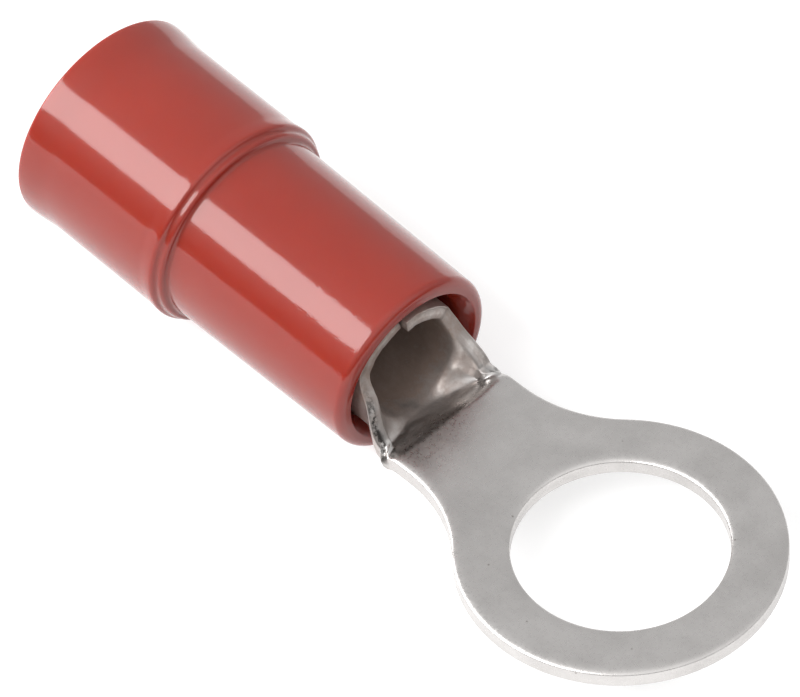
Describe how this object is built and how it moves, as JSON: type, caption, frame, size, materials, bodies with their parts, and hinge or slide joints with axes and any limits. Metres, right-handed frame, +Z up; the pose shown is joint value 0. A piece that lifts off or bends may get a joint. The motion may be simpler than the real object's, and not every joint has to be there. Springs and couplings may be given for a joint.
{
  "type": "ring terminal",
  "caption": "Insulated ring terminal: a flat ring with a stud hole on a rolled wire barrel, in a stepped translucent red sleeve that guides the wire in.",
  "frame": {"origin": "centre of the stud hole, on the ring's underside", "axes": "+Z up along the stud, +X from the barrel out through the tip of the ring"},
  "size_m": [0.0223, 0.008, 0.0061],
  "materials": {
    "tinned_copper": "satin tin plate",
    "red_sleeve": "glossy, translucent"
  },
  "bodies": {
    "root": {"terminal": "tinned_copper", "insulator": "red_sleeve"}
  },
  "joints": []
}
